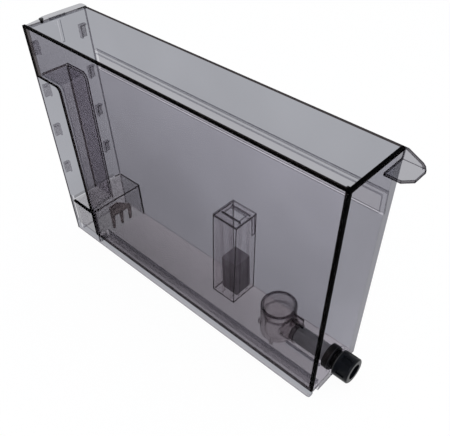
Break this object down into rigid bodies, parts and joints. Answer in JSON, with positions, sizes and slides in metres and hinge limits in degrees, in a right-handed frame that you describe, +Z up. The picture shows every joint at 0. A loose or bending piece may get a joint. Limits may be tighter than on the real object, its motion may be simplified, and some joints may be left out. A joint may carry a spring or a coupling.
{
  "type": "fresh water tank",
  "caption": "Slim open-topped smoked clear water tank with a stepped floor, side pocket, caged float, finger lip and a self-closing outlet valve in a union nut.",
  "frame": {"origin": "middle of the whole part's box, at the level it stands on", "axes": "+X along the tank to the outlet end, +Y across it from the front panel to the far wall, +Z up"},
  "size_m": [0.389, 0.0706, 0.2502],
  "materials": {
    "smoked_clear": "smoked clear moulded plastic, gloss",
    "smoked_pale": "paler smoked clear plastic, gloss",
    "smoked_dark": "dark smoked plastic, satin",
    "float_grey": "dark grey foamed plastic",
    "pipe_grey": "dark grey plastic pipe, satin",
    "black_plastic": "black moulded plastic, satin",
    "black_rubber": "black rubber",
    "magnet": "nickel-plated magnet",
    "spring_steel": "stainless spring wire"
  },
  "bodies": {
    "tank": {"tank_body": "smoked_clear", "front_panel": "smoked_clear", "end_flange": "smoked_pale", "flange_stud": "black_rubber", "guide_lugs": "smoked_pale", "pull_handle": "smoked_pale", "rib_bracket": "smoked_dark", "float_cage": "smoked_clear", "float_cage_cap": "smoked_clear", "outlet_collar": "smoked_clear", "pipe_coupling": "smoked_clear", "outlet_pipe": "pipe_grey", "valve_cap": "black_plastic", "valve_body": "black_plastic", "wall_gasket": "black_rubber", "outer_washer": "black_rubber", "valve_spring": "spring_steel"},
    "float": {"float_body": "float_grey", "float_magnet": "magnet", "float_plug": "float_grey"},
    "nut": {"union_nut": "black_plastic", "nut_seal": "black_rubber"},
    "poppet": {"valve_poppet": "float_grey", "poppet_seal": "black_rubber"}
  },
  "joints": [
    {"name": "float_rise", "type": "slide", "parent": "tank", "child": "float", "axis": [0, 0, 1], "range_m": [0, 0.054]},
    {"name": "nut_turn", "type": "hinge", "parent": "tank", "child": "nut", "pos_m": [0.1745, 0.0057, 0.016], "axis": [1, 0, 0], "continuous": true},
    {"name": "poppet_open", "type": "slide", "parent": "tank", "child": "poppet", "axis": [-1, 0, 0], "range_m": [0, 0.004], "stiffness_N_per_m": 250, "springref_m": -0.006, "deforming": ["valve_spring"]}
  ]
}
